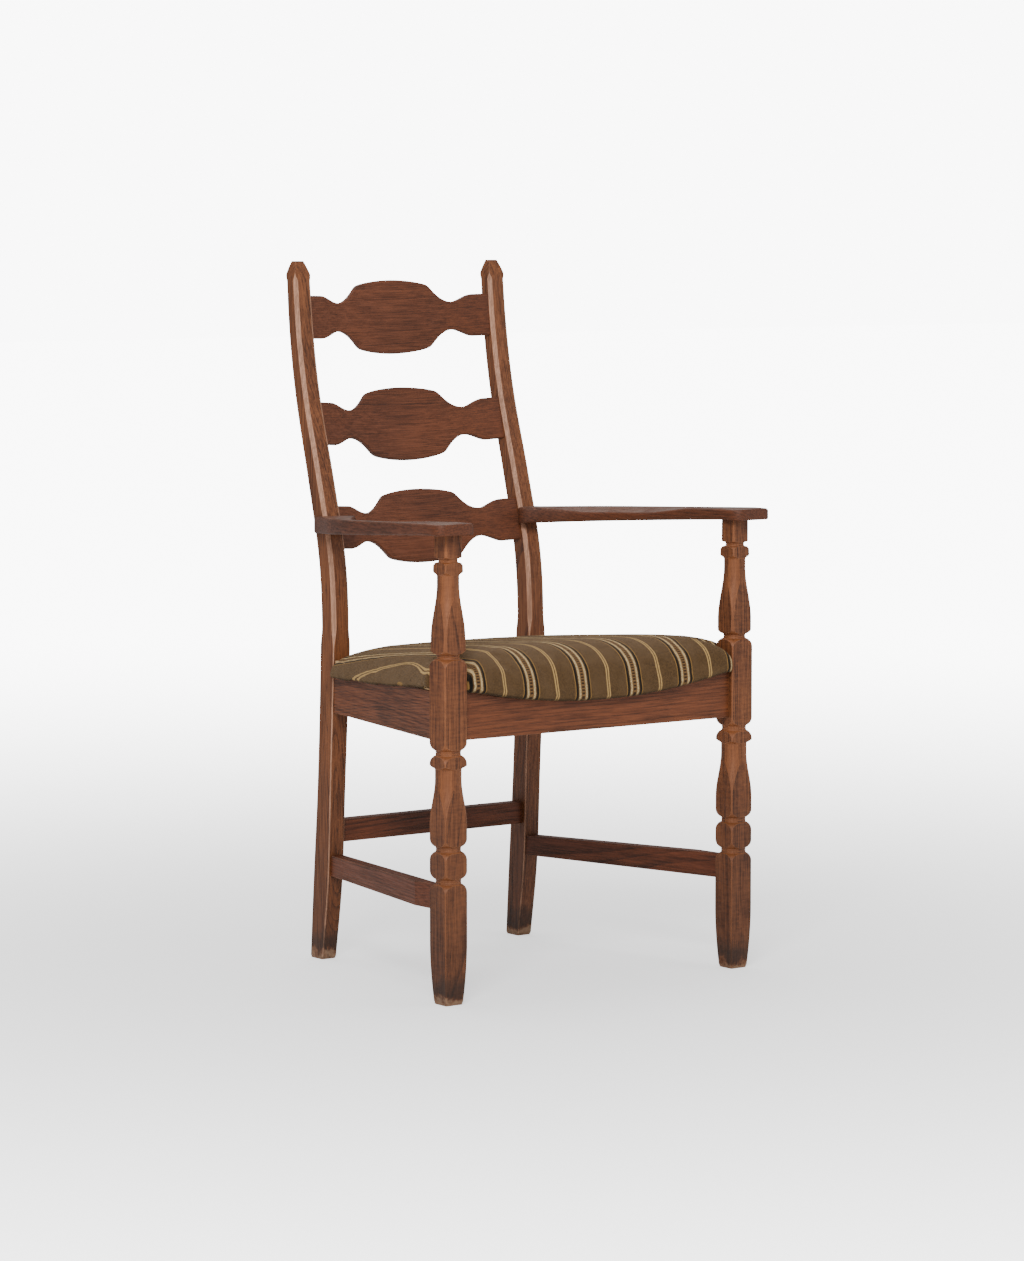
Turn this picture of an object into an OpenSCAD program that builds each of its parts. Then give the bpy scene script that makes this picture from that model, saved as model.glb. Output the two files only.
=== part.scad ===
// Oak ladder-back armchair with a padded seat.
// Built in its own frame: +Z up, the chair faces -Y, the floor is Z = 0.
// Heights are measured from the floor; depths are measured back from the line
// through the two front legs and moved to the part's frame by placed().

/* [Overall] */
// Height of the back posts
chair_h = 1070; // [1062:1:1076]
// Distance between the centres of the front legs
leg_spread = 533; // [525:1:541]
// Distance between the centres of the back posts at the floor
post_spread_foot = 375; // [371:1:379]
// Distance between the centres of the back posts at the top
post_spread_top = 368; // [364:1:372]
// Distance from the front edge of the arms to the back of the top slat
chair_d = 571; // [570:1:572]

/* [Front legs] */
// Side of the square blocks on the front legs
leg_side = 40; // [38:1:41]
// Smallest side of the leg at the floor
leg_foot = 30.5; // [29:0.5:34]
// Side of the leg just under the arm
leg_top = 29; // [27:0.5:31]
// Height of the front leg under the arm
leg_h = 683; // [682:1:684]

/* [Seat frame] */
// Height of the underside of the seat rails
rail_low = 385; // [380:1:388]
// Height of the top of the seat rails
rail_high = 455; // [452:1:456]
// Thickness of the seat rails
rail_t = 22; // [20:1:24]
// How far the front rail's top edge dips in the middle
rail_dip = 25; // [15:1:28]
// Distance the rails stand in from the outer faces of legs and posts
rail_inset = 6; // [5:1:8]

/* [Stretchers] */
// Thickness of the stretchers
stretcher_t = 20; // [18:1:22]
// Height of the underside of the side stretchers
side_stretcher_low = 133; // [128:1:138]
// Height of the underside of the back stretcher
rear_stretcher_low = 182; // [178:1:188]
// Depth of the back stretcher from top to bottom
rear_stretcher_h = 34.5; // [30:0.5:38]

/* [Back slats] */
// Heights of the middles of the three slats, bottom to top
slat_z = [665, 822, 984];
// Thickness of a slat
slat_t = 10; // [9:0.5:11]
// How far each slat bows back in the middle
slat_bow = 24; // [18:1:26]
// Half height of a slat where it meets the posts
slat_end = 33; // [30:1:35]
// Half height of a slat at its waists
slat_waist = 22; // [19:1:25]
// Half height of a slat at its middle
slat_crown = 57.5; // [52:0.5:60]

/* [Seat] */
// Thickness of the plywood seat board
board_t = 9; // [8:0.5:12]
// Height of the middle of the padding above the floor
seat_top = 500; // [496:1:504]
// How far the padding falls from its middle to its back edge
seat_fall = 16; // [10:1:18]
// Thickness of the woollen cover
cover_t = 1.6; // [1.4:0.1:2]

/* [Hidden] */

oak = [0.42, 0.25, 0.16];
oak_light = [0.50, 0.31, 0.20];
oak_dark = [0.33, 0.19, 0.13];
wool = [0.38, 0.33, 0.20];
steel = [0.62, 0.62, 0.60];

gap = 0.15;                              // glue gap round every tenon, mm
fit = 0.1;                               // clearance where two pieces touch
loose = 0.05;                            // clearance round plugs and staples
arm_nose = 38;                           // the arms reach this far in front of the legs
leg_line = chair_d / 2 - arm_nose;       // the legs stand this far in front of the origin

// Depth of the post's middle, its front-to-back size and its width, by height
post_shape = [
    //  z,    y,     depth, width
    [   0,  441,   32.5, 26.5],
    [ 120,  428,   40,   28],
    [ 260,  418.5, 36,   29],
    [ 400,  411,   35.5, 30.5],
    [ 520,  407,   36.5, 32],
    [ 620,  415.5, 36.5, 32],
    [ 740,  446,   34.5, 32],
    [ 860,  480,   31.5, 31.5],
    [ 960,  498.5, 29.5, 31.5],
    [1070,  509.2, 27,   31]];
finial_h = 28;                           // height of the tapered tip of a post
finial_w = 0.47;                         // width and depth of the tip, as a share of the post
finial_d = 0.40;
post_chamfer = 5.5;                      // chamfer on the long edges above the seat
post_ease = 1.5;                         // small ease on the long edges below the seat
chamfer_start = 482;                     // the chamfers run out just above the seat
chamfer_run = 34;

// Depths and half widths of the left arm: depth back, outer edge, inner edge
arm_shape = [
    //  y,  outer, inner
    [ -38, 310, 240],
    [   0, 308, 241],
    [  60, 300, 244],
    [ 130, 290, 245],
    [ 200, 280, 241],
    [ 270, 268, 231],
    [ 330, 250, 207],
    [ 370, 232, 177],
    [ 395, 221, 157],
    [ 415, 213, 168],
    [ 434, 206, 190]];
arm_corner = 18;                         // radius of the front corners of an arm
arm_low_front = leg_h + 0.3;             // underside and top of the arm at the leg ...
arm_high_front = 700;
arm_fall_low = 0.061;                    // ... and their fall for each mm towards the back
arm_fall_high = 0.040;
arm_dish = 8;                            // depth of the hollow along the inner edge
arm_ease = 2.5;                          // eased edges of an arm

rail_mid = (rail_low + rail_high) / 2;   // heights at which rails and stretchers meet the posts
side_stretcher_mid = 150;
rear_stretcher_mid = 200;
tenon_t = 9;                             // thickness and length of the rail tenons
tenon_l = 15;
rail_shoulder = 10;                      // a tenon stands in from the rail's edges by this much
stretcher_shoulder = 6;
slat_tenon_t = 5;
slat_tenon_l = 12;
leg_tenon_r = 9;                         // round tenon on top of each front leg
leg_tenon_l = 11;

// ---------------------------------------------------------------- helpers

module placed() { translate([0, -leg_line, 0]) children(); }

// Mirrors the right-hand piece from the left-hand one
module right_hand() { mirror([1, 0, 0]) children(); }
module both_sides() { children(); right_hand() children(); }

// Smooth curve through the rows of a table t: column c at station v
function row_at(t, v, i = 0) =
    (i >= len(t) - 2 || v < t[i + 1][0]) ? i : row_at(t, v, i + 1);
function row_slope(t, i, c) =
    let (a = max(i - 1, 0), b = min(i + 1, len(t) - 1))
    (t[b][c] - t[a][c]) / (t[b][0] - t[a][0]);
function curve(t, v, c) =
    let (i = row_at(t, v), h = t[i + 1][0] - t[i][0], u = (v - t[i][0]) / h)
    (2 * u^3 - 3 * u^2 + 1) * t[i][c] + (u^3 - 2 * u^2 + u) * h * row_slope(t, i, c)
    + (3 * u^2 - 2 * u^3) * t[i + 1][c] + (u^3 - u^2) * h * row_slope(t, i + 1, c);
function smooth(u) = let (v = min(max(u, 0), 1)) v * v * (3 - 2 * v);

// A closed solid through rings of equal length; each end is closed by a fan
// of triangles round the middle of its ring
module loft(rings) {
    n = len(rings[0]);
    m = len(rings);
    ones = [for (j = [1 : n]) 1 / n];
    polyhedron(
        points = concat([for (r = rings, p = r) p], [ones * rings[0], ones * rings[m - 1]]),
        faces = concat(
            [for (j = [0 : n - 1]) [j, (j + 1) % n, m * n]],
            [for (i = [0 : m - 2], j = [0 : n - 1])
                [i * n + j, (i + 1) * n + j, (i + 1) * n + (j + 1) % n]],
            [for (i = [0 : m - 2], j = [0 : n - 1])
                [i * n + j, (i + 1) * n + (j + 1) % n, i * n + (j + 1) % n]],
            [for (j = [0 : n - 1]) [(m - 1) * n + (j + 1) % n, (m - 1) * n + j, m * n + 1]]),
        convexity = 6);
}

// ------------------------------------------------------------- back posts

function post_x(z) = (post_spread_foot + (post_spread_top - post_spread_foot) * z / chair_h) / 2;
function post_y(z) = curve(post_shape, z, 1);
function post_depth(z) = curve(post_shape, z, 2);
function post_width(z) = curve(post_shape, z, 3);
function post_tip(z) = max(0, (z - (chair_h - finial_h)) / finial_h) ^ 1.4;
function post_foot_ease(z) = 1 - 0.08 * max(0, 1 - z / 4);
function post_edge(z) =
    (post_ease + (post_chamfer - post_ease) * smooth((z - chamfer_start) / chamfer_run))
    * (1 - 0.92 * smooth((z - (chair_h - finial_h) + 3) / 12));

function post_ring(z, grow) =
    let (w = post_width(z) * (1 - (1 - finial_w) * post_tip(z)) * post_foot_ease(z) / 2 + grow,
         d = post_depth(z) * (1 - (1 - finial_d) * post_tip(z)) * post_foot_ease(z) / 2 + grow,
         e = post_edge(z), x = -post_x(z), y = post_y(z))
    [for (p = [[w - e, -d], [w, -d + e], [w, d - e], [w - e, d],
               [-w + e, d], [-w, d - e], [-w, -d + e], [-w + e, -d]])
        [x + p[0], y + p[1], z]];

post_levels = concat([0, 2, 4], [for (z = [20 : 20 : 480]) z], [for (z = [488 : 8 : 528]) z],
    [for (z = [545 : 20 : 1025]) z], [for (z = [-33 : 3 : 0]) chair_h + z]);

// The bare post, left hand; grow makes it larger all round for cutting its neighbours
module post_blank(grow = 0) { loft([for (z = post_levels) post_ring(z, grow)]); }

module rear_post() {
    color(oak_light) placed() difference() {
        post_blank();
        side_rail_tenons(gap);
        side_stretcher_tenons(gap);
        rear_rail_tenons(gap);
        rear_stretcher_tenons(gap);
        for (z = slat_z) slat_tenons(z, gap);
        armrest_screw_shape(fit);
        armrest_plug_shape(loose);
    }
}

// ------------------------------------------------------------- front legs

// Heights of the turned necks, and the radius of each
neck = [[180.3, 18.5], [227.3, 18.2], [367.3, 18.4], [506.7, 16.6], [645.9, 14.05]];
leg_full = 27.2;                         // turned radius that leaves the square's corners whole
leg_top_r = 19.9;                        // turned radius of the short square under the arm
leg_top_z = 640;
shoulder_r = 13;                         // rounding of a shoulder next to a neck
shoulder_h = 16;                         // its reach from the middle of the neck
vase_low = [262, 330, 19.3, 27.2];       // each vase: start, end, radii of its neck and belly
vase_high = [532, 612, 16.2, 25.2];
collar_low = [343, 348.5, 25.6];         // each collar: foot, sharp lower edge and its radius
collar_high = [623, 629.5, 21.6];

// Side of the square part: flares at the foot and tapers to the arm
function leg_square(z) =
    z < 100 ? leg_side - (leg_side - leg_foot) * (1 - z / 100) ^ 2
    : z < 515 ? leg_side
    : leg_side - (leg_side - leg_top) * (z - 515) / (leg_h - 515);

// Radius left by the neck i at height z
function shoulder(z, i) =
    let (dz = abs(z - neck[i][0]), reach = max(0, shoulder_h - dz))
    max(neck[i][1], reach >= shoulder_r ? 0
        : leg_full - shoulder_r + sqrt(shoulder_r ^ 2 - reach ^ 2));
function vase(z, v) =
    z < v[0] ? v[3] : z > v[1] ? v[2]
    : v[2] + (v[3] - v[2]) * (0.5 + 0.5 * cos(180 * (z - v[0]) / (v[1] - v[0])));
function collar(z, c, r) = r + (c[2] - r) * smooth((z - c[0]) / (c[1] - c[0])) ^ 1.5;
function leg_turned(z) =
    let (v = z < 349 ? (z < collar_low[0] ? vase(z, vase_low)
                        : z <= collar_low[1] ? collar(z, collar_low, vase_low[2]) : leg_full)
             : z < 506 ? leg_full
             : z < collar_high[0] ? vase(z, vase_high)
             : z <= collar_high[1] ? collar(z, collar_high, vase_high[2])
             : z < leg_top_z ? leg_full : leg_top_r)
    min(v, min([for (i = [0 : 4]) shoulder(z, i)]));

leg_corner = 2;                          // flat on each corner of the square
leg_sides = 24;
function leg_ring(z) =
    let (h = leg_square(z) / 2 * (1 - 0.06 * max(0, 1 - z / 5)), r = leg_turned(z))
    [for (k = [0 : leg_sides - 1])
        let (a = (k + 0.5) * 360 / leg_sides, c = cos(a), s = sin(a),
             square = min(h / max(abs(c), abs(s)), (2 * h - leg_corner) / (abs(c) + abs(s))),
             q = min(square, r))
        [-leg_spread / 2 + q * c, q * s, z]];

leg_levels = concat(
    [0, 5], [for (z = [20 : 20 : 100]) z],
    [for (i = [0 : 1], d = [-16, -11, -7, -4, -1.5, 1.5, 4, 7, 11, 16]) neck[i][0] + d],
    [for (z = [262 : 8.5 : 330]) z], [342, 345, 347, 348.5, 349.2],
    [for (i = [2 : 3], d = [-16, -11, -7, -4, -1.5, 1.5, 4, 7, 11, 16]) neck[i][0] + d],
    [for (z = [532 : 10 : 612]) z], [622, 625, 628, 629.5, 630.2, 634.9],
    [for (d = [-7, -4, -1.5, 1.5, 4, 7, 11, 16]) neck[4][0] + d], [leg_h]);

// Round tenon on top of the leg, which the arm drops over
module leg_top_tenon(grow = 0) {
    translate([-leg_spread / 2, 0, leg_h - 1])
        cylinder(r = leg_tenon_r + grow, h = leg_tenon_l + 1 + 4 * grow, $fn = 48);
}

module front_leg() {
    color(oak) placed() difference() {
        union() {
            loft([for (z = leg_levels) leg_ring(z)]);
            leg_top_tenon();
        }
        side_rail_tenons(gap);
        side_stretcher_tenons(gap);
        front_rail_tenons(gap);
    }
}

// ------------------------------------------------------------- seat frame

// Outer faces of the side rails and stretchers: at the leg and at the post
leg_back = leg_side / 2;
rail_out_front = leg_spread / 2 + leg_side / 2 - rail_inset;
rail_out_rear = post_x(rail_mid) + post_width(rail_mid) / 2 - rail_inset;
rail_rear = post_y(rail_mid);
rail_lean = atan((rail_out_front - rail_out_rear) / (rail_rear - leg_back));
function rail_out(y) = rail_out_front - (y - leg_back) * tan(rail_lean);

// Plan of a slanting side member of thickness t, from depth y0 to depth y1
module side_plan(t, inset, y0, y1) {
    w = t / cos(rail_lean);
    polygon([[-rail_out(y0) + inset, y0], [-rail_out(y0) + inset + w, y0],
             [-rail_out(y1) + inset + w, y1], [-rail_out(y1) + inset, y1]]);
}

// Tenons of a side member, into the leg in front and the post behind
module side_tenon_pair(t, z0, z1, post_face, grow) {
    inset = (t - tenon_t) / 2 / cos(rail_lean);
    for (y = [[leg_back - tenon_l - 3 * grow, leg_back + 4],
              [post_face - 4, post_face + tenon_l + 3 * grow]])
        translate([0, 0, z0 - grow]) linear_extrude(z1 - z0 + 2 * grow)
            side_plan(tenon_t + 2 * grow, inset - grow, y[0], y[1]);
}
module side_rail_tenons(grow = 0) {
    side_tenon_pair(rail_t, rail_low + rail_shoulder, rail_high - rail_shoulder,
                    post_y(rail_mid) - post_depth(rail_mid) / 2, grow);
}
module side_stretcher_tenons(grow = 0) {
    side_tenon_pair(stretcher_t, side_stretcher_low + stretcher_shoulder, side_stretcher_low + 27,
                    post_y(side_stretcher_mid) - post_depth(side_stretcher_mid) / 2, grow);
}

module side_rail() {
    color(oak_dark) placed() difference() {
        union() {
            difference() {
                translate([0, 0, rail_low]) linear_extrude(rail_high - rail_low)
                    side_plan(rail_t, 0, leg_back + fit, rail_rear);
                post_blank(fit);
            }
            side_rail_tenons();
        }
        block_screw_shapes(fit);
    }
}

// The side stretcher is deeper at the front than at the back
stretcher_h_front = 37;
stretcher_h_rear = 31;
module side_stretcher() {
    y0 = leg_back + fit;
    y1 = post_y(side_stretcher_mid) - post_depth(side_stretcher_mid) / 2 + 6;
    color(oak_dark) placed() {
        difference() {
            intersection() {
                translate([0, 0, side_stretcher_low - 5]) linear_extrude(stretcher_h_front + 10)
                    side_plan(stretcher_t, 0, y0, y1);
                rotate([90, 0, -90]) linear_extrude(leg_spread, center = true)
                    polygon([[-y0, side_stretcher_low + 2], [-y1, side_stretcher_low - 1],
                             [-y1, side_stretcher_low - 1 + stretcher_h_rear],
                             [-y0, side_stretcher_low + 2 + stretcher_h_front]]);
            }
            post_blank(fit);
        }
        side_stretcher_tenons();
    }
}

front_rail_y = -leg_side / 2 + 9;        // front face of the front rail
module front_rail_tenons(grow = 0) {
    half = leg_spread / 2 - leg_side / 2 + tenon_l + 3 * grow;
    translate([-half, front_rail_y + 4 - grow, rail_low + rail_shoulder - grow])
        cube([2 * half, tenon_t + 2 * grow, rail_high - rail_low - 2 * rail_shoulder + 2 * grow]);
}

// Height of the front rail's top edge: dips in the middle
function front_rail_top(x) =
    let (u = min(1, abs(x) / (leg_spread / 2 - leg_side / 2)))
    rail_high - rail_dip * (1 - u ^ 2);

module front_rail() {
    half = leg_spread / 2 - leg_side / 2 - 0.1;
    color(oak) placed() difference() {
        union() {
            translate([0, front_rail_y + rail_t, 0]) rotate([90, 0, 0]) linear_extrude(rail_t)
                polygon(concat([[half, rail_low], [-half, rail_low]],
                    [for (k = [-12 : 12]) [half * k / 12, front_rail_top(half * k / 12)]]));
            intersection() {
                front_rail_tenons();
                translate([-leg_spread, -50, 0]) cube([2 * leg_spread, 100, rail_high - rail_dip]);
            }
        }
        block_screw_shapes(fit);
        right_hand() block_screw_shapes(fit);
    }
}

rear_rail_y = 415;                       // front face of the rear rail and of its tenons
module rear_rail_tenons(grow = 0) {
    half = post_x(rail_mid) - post_width(rail_mid) / 2 + 10 + 3 * grow;
    translate([-half, rear_rail_y - grow, rail_low + rail_shoulder - grow])
        cube([2 * half, tenon_t + 2 * grow, rail_high - rail_low - 2 * rail_shoulder + 2 * grow]);
}
module rear_rail() {
    color(oak_dark) placed() difference() {
        union() {
            difference() {
                translate([-post_x(rail_mid), rear_rail_y - 11, rail_low])
                    cube([2 * post_x(rail_mid), rail_t, rail_high - rail_low]);
                post_blank(fit);
                right_hand() post_blank(fit);
            }
            rear_rail_tenons();
        }
        block_screw_shapes(fit);
        right_hand() block_screw_shapes(fit);
    }
}

rear_stretcher_y = post_y(rear_stretcher_mid) - stretcher_t / 2;
module rear_stretcher_tenons(grow = 0) {
    half = post_x(rear_stretcher_mid) - post_width(rear_stretcher_mid) / 2 + tenon_l + 3 * grow;
    translate([-half, rear_stretcher_y + 5 - grow, rear_stretcher_low + stretcher_shoulder - grow])
        cube([2 * half, tenon_t + 2 * grow, rear_stretcher_h - 2 * stretcher_shoulder + 2 * grow]);
}
module rear_stretcher() {
    color(oak_dark) placed() {
        difference() {
            translate([-post_x(rear_stretcher_mid), rear_stretcher_y, rear_stretcher_low])
                cube([2 * post_x(rear_stretcher_mid), stretcher_t, rear_stretcher_h]);
            post_blank(fit);
            right_hand() post_blank(fit);
        }
        rear_stretcher_tenons();
    }
}

// ------------------------------------------------------------- back slats

slat_half = post_x(820) - post_width(820) / 2;   // half of the clear width between the posts
slat_r = (slat_half ^ 2 + slat_bow ^ 2) / (2 * slat_bow);
function slat_slope(z) = 0.9 * atan((post_y(z + 25) - post_y(z - 25)) / 50);

// Half height of a slat across its width: level ends, waists, then hollow
// flanks up to the shoulders of an arched middle
waist_x = 108;
end_run = 36;                            // from a waist to the level end
arch = 7.5;                              // fall of the arch from the middle to the shoulder
arch_x = 66;
flank = 0.0175;                          // rise of the hollow flank, per mm squared
shoulder_blend = 5;
function slat_edge(x) =
    let (a = abs(x), f = slat_waist + flank * (waist_x - a) ^ 2,
         m = slat_crown - arch * (a / arch_x) ^ 2)
    a > waist_x ? slat_waist + (slat_end - slat_waist) * smooth((a - waist_x) / end_run)
    : (f + m - sqrt((f - m) ^ 2 + shoulder_blend ^ 2)) / 2 + (shoulder_blend / 2) ^ 2 / (m - slat_waist);

// Moves a slat drawn round the origin to its height on the posts
module slat_place(z) {
    translate([0, post_y(z) - 3, z]) rotate([-slat_slope(z), 0, 0]) children();
}
module slat_tenons(z, grow = 0) {
    half = slat_half + slat_tenon_l + 3 * grow;
    slat_place(z) difference() {
        translate([-half, -slat_tenon_t / 2 - grow, -slat_end + stretcher_shoulder - grow])
            cube([2 * half, slat_tenon_t + 2 * grow, 2 * slat_end - 2 * stretcher_shoulder + 2 * grow]);
        translate([-slat_half + 6, -20, -slat_end]) cube([2 * slat_half - 12, 40, 2 * slat_end]);
    }
}
module slat(z) {
    reach = slat_half + 8;
    edge = [for (k = [-32 : 32]) [reach * k / 32, slat_edge(reach * k / 32)]];
    color(oak) placed() {
        difference() {
            slat_place(z) intersection() {
                translate([0, slat_bow - slat_r, 0]) difference() {
                    cylinder(r = slat_r + slat_t / 2, h = 3 * slat_crown, center = true, $fn = 360);
                    cylinder(r = slat_r - slat_t / 2, h = 4 * slat_crown, center = true, $fn = 360);
                }
                rotate([90, 0, 0]) linear_extrude(120, center = true)
                    polygon(concat([for (p = edge) [p[0], -p[1]]],
                                   [for (k = [len(edge) - 1 : -1 : 0]) edge[k]]));
            }
            post_blank(fit);
            right_hand() post_blank(fit);
        }
        slat_tenons(z);
    }
}

// ------------------------------------------------------------------- arms

function arm_low(y) = arm_low_front - arm_fall_low * max(0, y);
function arm_high(y) = arm_high_front - arm_fall_high * max(0, y);
function arm_hollow(y) = arm_dish * smooth((y - 70) / 130) * (1 - smooth((y - 300) / 90));

// How far the front corners draw the arm in at depth y
function arm_round(y) =
    let (u = arm_corner - (y + arm_nose))
    u <= 0 ? 0 : arm_corner - sqrt(max(0, arm_corner ^ 2 - u ^ 2));

function arm_ring(y) =
    let (o = -curve(arm_shape, y, 1) + arm_round(y), i = -curve(arm_shape, y, 2) - arm_round(y),
         b = arm_low(y), t = arm_high(y), ti = t - arm_hollow(y), e = arm_ease)
    [for (p = [[o + e, b], [o, b + e], [o, t - e], [o + e, t],
               [(o + i) / 2, (t + ti) / 2 + 0.6], [i - e, ti], [i, ti - e], [i, b + e], [i - e, b]])
        [p[0], y, p[1]]];

arm_levels = concat([for (a = [0 : 15 : 90]) -arm_nose + arm_corner * (1 - cos(a))],
    [for (y = [0 : 20 : 380]) y], [390, 398, 406, 415, 425, 434]);

module armrest() {
    color(oak_dark) placed() difference() {
        loft([for (y = arm_levels) arm_ring(y)]);
        post_blank(fit);
        // behind the post's front face the arm only laps the outside of the post
        translate([-post_x(680), post_y(672) - post_depth(672) / 2 + 3, 600]) cube([80, 60, 150]);
        leg_top_tenon(fit);
        armrest_screw_shape(fit);
    }
}

arm_screw_z = 672;
// Screw from the back of the post into the arm, and the wooden plug over its head
module armrest_screw_shape(grow = 0) {
    translate([-post_x(arm_screw_z), post_y(arm_screw_z) + 5, arm_screw_z]) rotate([90, 0, 0]) {
        cylinder(r = 2 + grow, h = 48 + grow, $fn = 24);
        translate([0, 0, -4]) cylinder(r = 4 + grow, h = 4, $fn = 24);
    }
}
module armrest_plug_shape(grow = 0) {
    translate([-post_x(arm_screw_z), post_y(arm_screw_z) + 30, arm_screw_z]) rotate([90, 0, 0])
        cylinder(r = 4.5 + grow, h = 20.6, $fn = 24);
}
module armrest_plug() {
    intersection() {
        armrest_plug_shape();
        post_blank(-loose);
    }
}

// ----------------------------------------------------------- corner blocks

block_low = rail_low + 12;
block_high = rail_high - 14;
block_reach = 56;

// Inner face of the left side rail at depth y, with a glue gap
function rail_in(y) = -rail_out(y) + rail_t / cos(rail_lean) + 0.1;

// Plan of a front corner block: fits the leg and both rails
module front_block_plan() {
    y0 = front_rail_y + rail_t + 0.1;
    y1 = leg_back + 0.2;
    y2 = y0 + 72;
    x0 = -leg_spread / 2 + leg_side / 2 + 0.1;
    polygon([[x0, y0], [x0 + block_reach, y0], [x0 + block_reach, y0 + 12],
             [rail_in(y2) + 10, y2], [rail_in(y2), y2], [rail_in(y1), y1], [x0, y1]]);
}
// Plan of a rear corner block: fits the post and both rails
module rear_block_plan() {
    y0 = rear_rail_y - 11.1;
    x0 = -post_x(rail_mid) + post_width(rail_mid) / 2;
    polygon([[x0 + 1, y0], [x0 + 44, y0], [x0 + 44, y0 - 10], [rail_in(y0 - 58) + 9, y0 - 58],
             [rail_in(y0 - 58), y0 - 58], [rail_in(y0 - 20), y0 - 20], [x0 + 1, y0 - 20]]);
}

module corner_block(front) {
    color("burlywood") placed() difference() {
        translate([0, 0, block_low]) linear_extrude(block_high - block_low)
            if (front) front_block_plan(); else rear_block_plan();
        block_screw_shapes(fit);
        seat_screw_shapes(fit);
    }
}

block_mid = (block_low + block_high) / 2;
front_block_screw_x = -leg_spread / 2 + leg_side / 2 + 38;
rear_block_screw_x = -post_x(rail_mid) + post_width(rail_mid) / 2 + 32;

// Screws of the left blocks: one into the front rail, one into the rear rail
// and one from each block into the side rail
module block_screw_shapes(grow = 0) {
    translate([front_block_screw_x, front_rail_y + rail_t + 12.5, block_mid]) rotate([90, 0, 0])
        wood_screw(26, grow);
    translate([rear_block_screw_x, rear_rail_y - 11 - 9.5, block_mid]) rotate([-90, 0, 0])
        wood_screw(22, grow);
    for (p = [[66, block_mid + 8, 7], [358, block_mid - 8, 9]])
        translate([rail_in(p[0]) + p[2], p[0], p[1]]) rotate([0, -90, 0]) wood_screw(20, grow);
}

// Countersunk screw with its head at the origin, pointing along +Z
module wood_screw(length, grow = 0) {
    rotate_extrude($fn = 24) polygon([[0, -grow], [3.6 + grow, -grow], [3.6 + grow, 0.6],
        [1.8 + grow, 2.8], [1.8 + grow, length - 4], [grow, length + grow], [0, length + grow]]);
}

// Screws that hold the seat board down, up through the four blocks
seat_screw_at = [[-leg_spread / 2 + leg_side / 2 + 22, front_rail_y + rail_t + 26],
                 [-post_x(rail_mid) + post_width(rail_mid) / 2 + 12, rear_rail_y - 11 - 18]];
module seat_screw_shapes(grow = 0) {
    for (p = seat_screw_at) translate([p[0], p[1], block_low]) {
        wood_screw(board_low - block_low + 6, grow);
    }
}

// ------------------------------------------------------------------- seat

hem_t = 1.4;                             // the cover's edge, turned in under the board
board_low = rail_high + hem_t + 0.2;     // the board lies on the turned-in edge, on the rails
board_front = 12;                        // front edge of the board, behind the front rail
cover_over = 7;                          // the seat stands out over the side rails
seat_front = 27;                         // and in front of the leg line
seat_rear = 422;                         // and ends between the posts
seat_corner_y = 389;                     // its back corners stop short of the posts
seat_middle = [0, 195];
seat_side_h = 6;                         // height of the straight side above the rails

// Plan of the seat's edge, notched round the legs and the posts; grow moves it outwards
function seat_plan(grow) =
    let (xl = leg_spread / 2 - leg_side / 2 - 1.2 + grow, yl = leg_back + 1.2 - grow,
         xp = post_x(470) - post_width(470) / 2 - 1.2 + grow, yc = seat_corner_y + grow,
         side = function (y) rail_out(y) + cover_over + grow,
         right = [[xl, -seat_front - grow], [xl, yl], [side(yl), yl], [side(yc), yc],
                  [xp, yc], [xp, seat_rear + grow]])
    concat(right, [for (k = [5 : -1 : 0]) [-right[k][0], right[k][1]]]);

// The same edge as closely spaced points, with each corner cut a little
function seat_outline(grow) =
    let (p = seat_plan(grow), n = len(p))
    [for (i = [0 : n - 1])
        let (a = p[i], b = p[(i + 1) % n], steps = max(2, round(norm(b - a) / 40)))
        for (k = [0 : steps - 1])
            let (e = min(3, norm(b - a) / 5) / norm(b - a), u = e + (1 - 2 * e) * k / (steps - 1))
            a + (b - a) * u];

// The upholstery as one domed block, reaching below the rails' tops and falling to the back
module seat_dome(grow) {
    edge = seat_outline(grow);
    side_z = board_low + seat_side_h;
    half_depth = (seat_rear + seat_front) / 2;
    loft(concat(
        [for (z = [rail_high - rail_dip - 6, side_z]) [for (p = edge) [p[0], p[1], z]]],
        [for (a = [8 : 8 : 80]) [for (p = edge)
            let (q = seat_middle + (p - seat_middle) * cos(a) ^ 0.4,
                 top = seat_top + grow - seat_fall * (q[1] - seat_middle[1]) / half_depth)
            [q[0], q[1], side_z + (top - side_z) * sin(a) ^ 0.85]]]));
}

// What lies below the upholstery: the rails, and in front the dipped edge of the front rail
module below_seat() {
    half = leg_spread / 2;
    translate([-half - 50, board_front - 0.5, 0]) cube([2 * half + 100, 500, rail_high + 0.1]);
    translate([0, board_front, 0]) rotate([90, 0, 0]) linear_extrude(100)
        polygon(concat([for (k = [-12 : 12]) [half * k / 12, front_rail_top(half * k / 12) + 0.3]],
                       [[half, 0], [-half, 0]]));
}

module seat_board() {
    color("tan") placed() difference() {
        translate([0, 0, board_low]) linear_extrude(board_t) difference() {
            polygon(seat_plan(-6));
            translate([-leg_spread / 2, board_front - 200]) square([leg_spread, 200]);
        }
        both_sides() { seat_screw_shapes(fit); staple_shapes(loose); }
    }
}

module seat_padding() {
    color("lemonchiffon") placed() difference() {
        seat_dome(-cover_t - 0.1);
        below_seat();
        translate([0, 0, board_low - 5]) linear_extrude(board_t + 5.1) difference() {
            polygon(seat_plan(-5.9));
            translate([-leg_spread / 2, board_front - 200.1]) square([leg_spread, 200]);
        }
    }
}

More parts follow.
